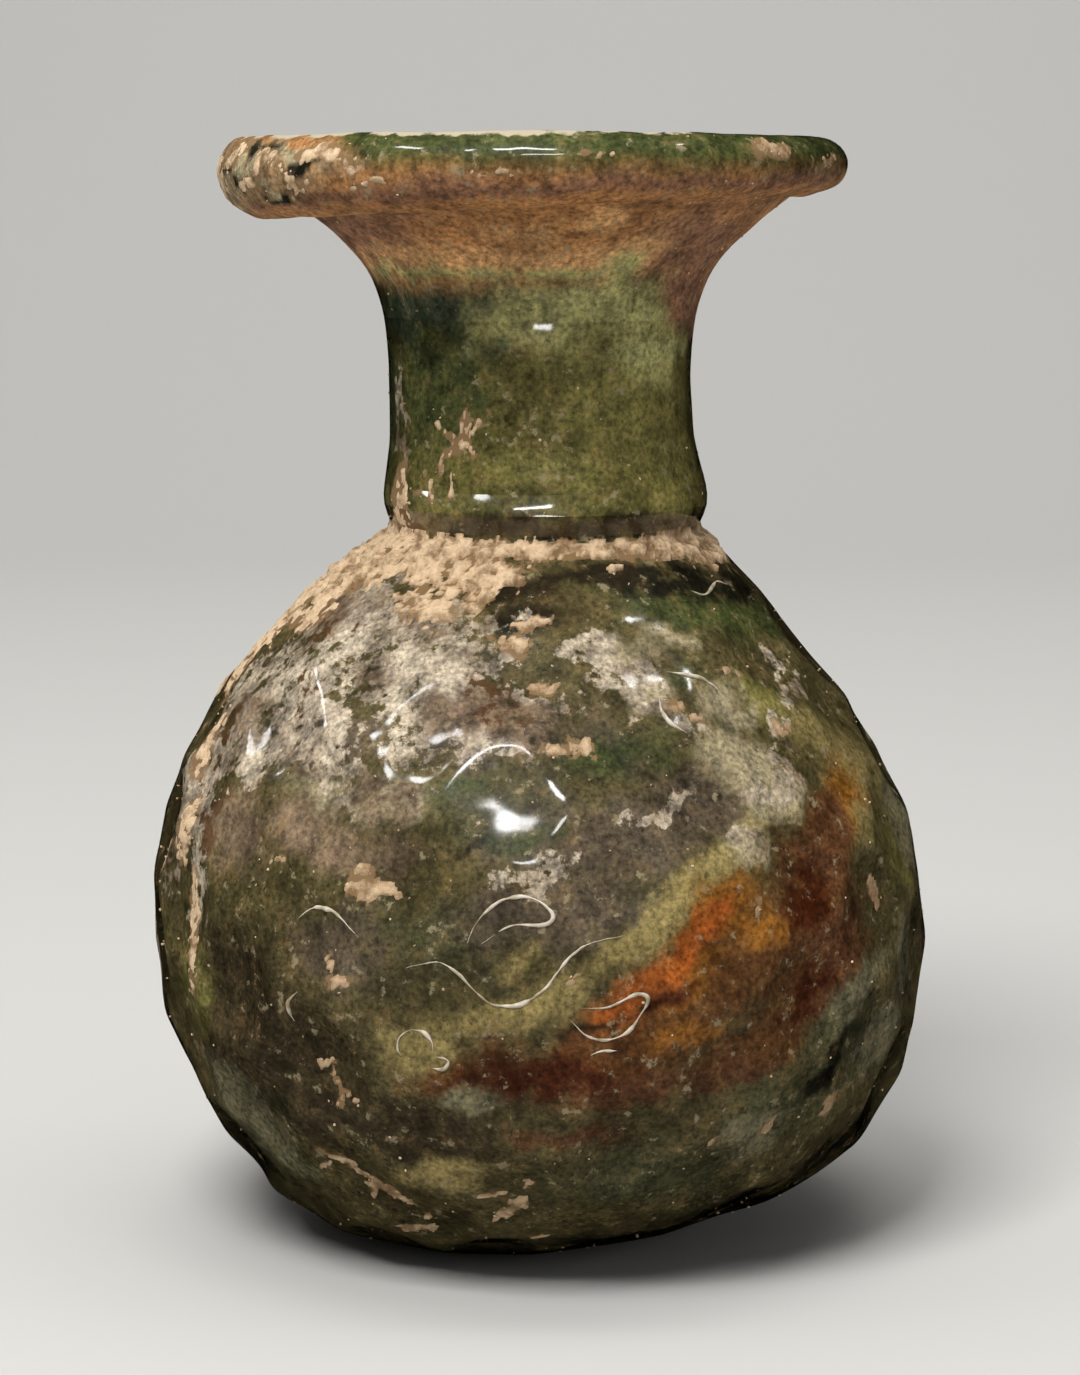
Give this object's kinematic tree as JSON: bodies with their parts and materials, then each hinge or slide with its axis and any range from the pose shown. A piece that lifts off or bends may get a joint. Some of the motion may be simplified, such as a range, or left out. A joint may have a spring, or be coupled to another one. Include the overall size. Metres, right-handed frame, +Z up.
{
  "type": "roman glass bottle",
  "caption": "Mould-blown glass bottle with a honeycombed round body, a short neck and a flaring mouth with a thick folded rim, weathered and crusted with burial soil.",
  "frame": {"origin": "on the floor, under the middle of the bottle's outer box", "axes": "+Z up from the foot to the mouth, -Y towards the side with the dark green neck and the amber band"},
  "size_m": [0.0622, 0.062, 0.0866],
  "materials": {
    "weathered_glass": "olive-green and amber glass, glossy where clean and dulled by weathering",
    "burial_soil": null
  },
  "bodies": {
    "root": {"glass_bottle": "weathered_glass"}
  },
  "joints": []
}
